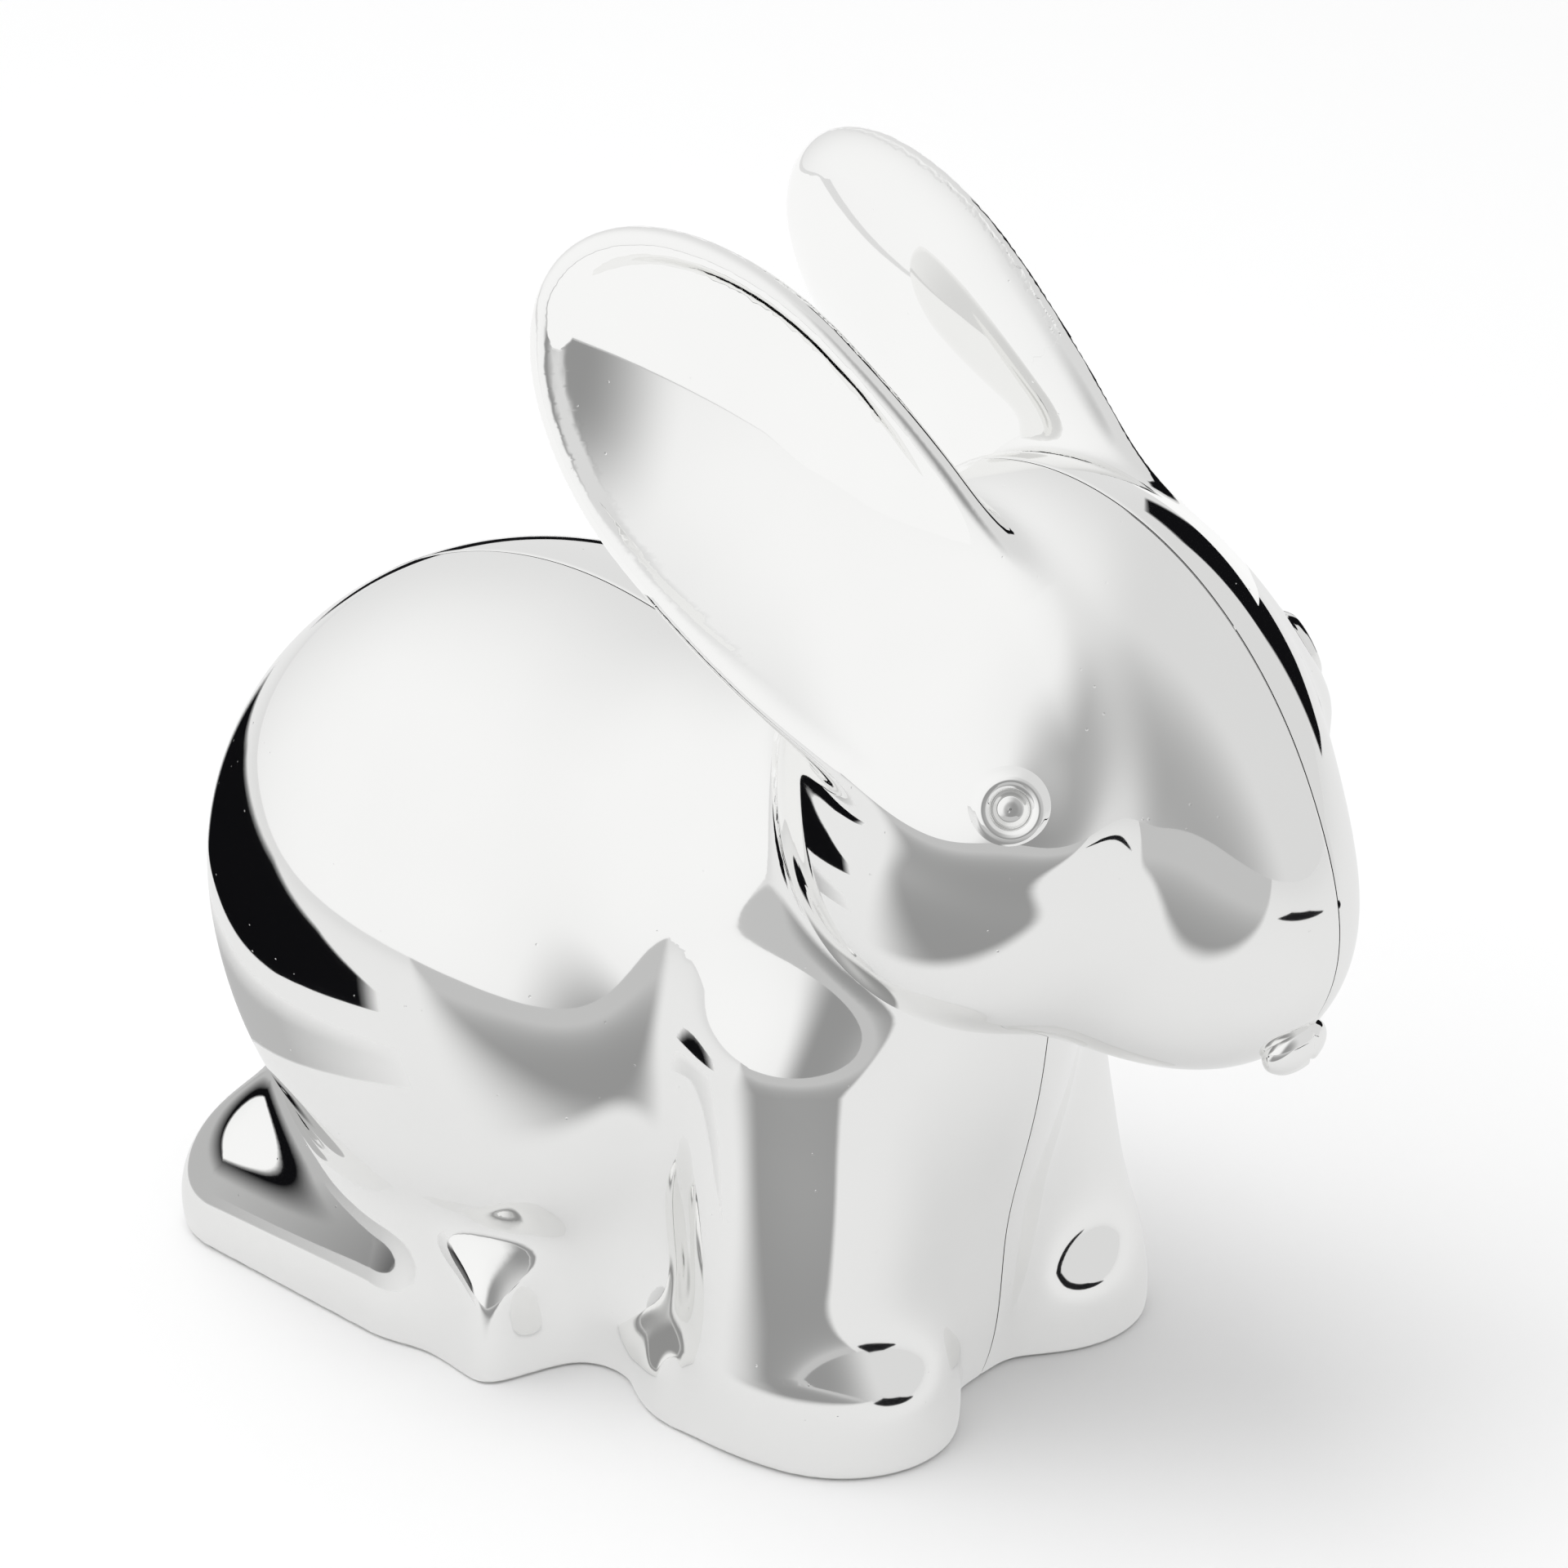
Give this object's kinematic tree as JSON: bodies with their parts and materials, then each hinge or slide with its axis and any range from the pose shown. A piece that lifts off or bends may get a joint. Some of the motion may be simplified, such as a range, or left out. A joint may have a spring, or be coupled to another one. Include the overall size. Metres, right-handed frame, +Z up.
{
  "type": "rabbit money box",
  "caption": "Hollow crouching rabbit ornament and coin bank in bright silver plate, with swept-back ears, ring eyes, a coin slot between the ears and a stopper underneath.",
  "frame": {"origin": "middle of the bounding box, on the table", "axes": "+X towards the nose, +Y towards the rabbit's left side, +Z up"},
  "size_m": [0.1191, 0.0632, 0.1096],
  "materials": {
    "silver_plate": "mirror polished silver plate",
    "soft_plastic": "matt"
  },
  "bodies": {
    "bank": {"body_right_shell": "silver_plate", "body_left_shell": "silver_plate", "head_right_shell": "silver_plate", "head_left_shell": "silver_plate", "ear_right": "silver_plate", "ear_left": "silver_plate", "nose_pad": "silver_plate", "eye_right": "silver_plate", "eye_left": "silver_plate", "base_plate": "silver_plate"},
    "plug": {"stopper": "soft_plastic"}
  },
  "joints": [
    {"name": "stopper_pull", "type": "slide", "parent": "bank", "child": "plug", "axis": [0, 0, -1], "range_m": [0, 0.03]}
  ]
}
